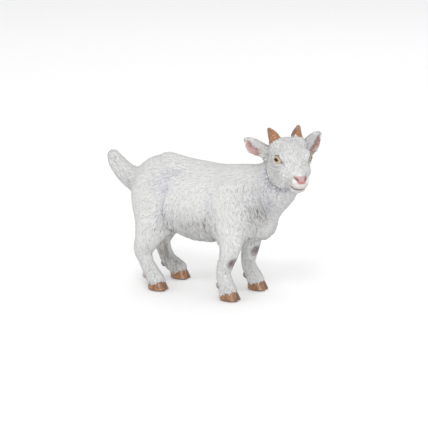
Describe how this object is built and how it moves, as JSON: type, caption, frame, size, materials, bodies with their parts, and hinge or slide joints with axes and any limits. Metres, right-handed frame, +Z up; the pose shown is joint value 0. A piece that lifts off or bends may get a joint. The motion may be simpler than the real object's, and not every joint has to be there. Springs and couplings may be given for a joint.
{
  "type": "toy kid goat figure",
  "caption": "Moulded toy figure of a standing white kid goat, head turned to its right and tail raised, with short horns, cupped ears and cloven hooves.",
  "frame": {"origin": "middle of the figure's box, on the floor that its hooves stand on", "axes": "+X forward along the body towards the head, +Y to the goat's left, +Z up"},
  "size_m": [0.0698, 0.023, 0.0527],
  "materials": {
    "coat": "matt painted plastic, warm white with a grey-lavender wash in the sculpted fur",
    "horn": "satin brown paint, darker at the sides",
    "hoof": "satin caramel brown paint, darker in the cleft",
    "dewclaw": "matt grey-mauve paint",
    "eye": "glossy pale yellow iris with a dark pupil",
    "nose": "satin pink paint"
  },
  "bodies": {
    "root": {"head": "coat", "nose_pad": "nose", "neck": "coat", "trunk": "coat", "tail": "coat", "ear_right": "coat", "horn_right": "horn", "eye_right": "eye", "ear_left": "coat", "horn_left": "horn", "eye_left": "eye", "foreleg_right_upper": "coat", "foreleg_right_lower": "coat", "hoof_foreleg_right_inner": "hoof", "dewclaw_foreleg_right_inner": "dewclaw", "hoof_foreleg_right_outer": "hoof", "dewclaw_foreleg_right_outer": "dewclaw", "foreleg_left_upper": "coat", "foreleg_left_lower": "coat", "hoof_foreleg_left_inner": "hoof", "dewclaw_foreleg_left_inner": "dewclaw", "hoof_foreleg_left_outer": "hoof", "dewclaw_foreleg_left_outer": "dewclaw", "hindleg_right_upper": "coat", "hindleg_right_lower": "coat", "hoof_hindleg_right_inner": "hoof", "dewclaw_hindleg_right_inner": "dewclaw", "hoof_hindleg_right_outer": "hoof", "dewclaw_hindleg_right_outer": "dewclaw", "hindleg_left_upper": "coat", "hindleg_left_lower": "coat", "hoof_hindleg_left_inner": "hoof", "dewclaw_hindleg_left_inner": "dewclaw", "hoof_hindleg_left_outer": "hoof", "dewclaw_hindleg_left_outer": "dewclaw"}
  },
  "joints": []
}
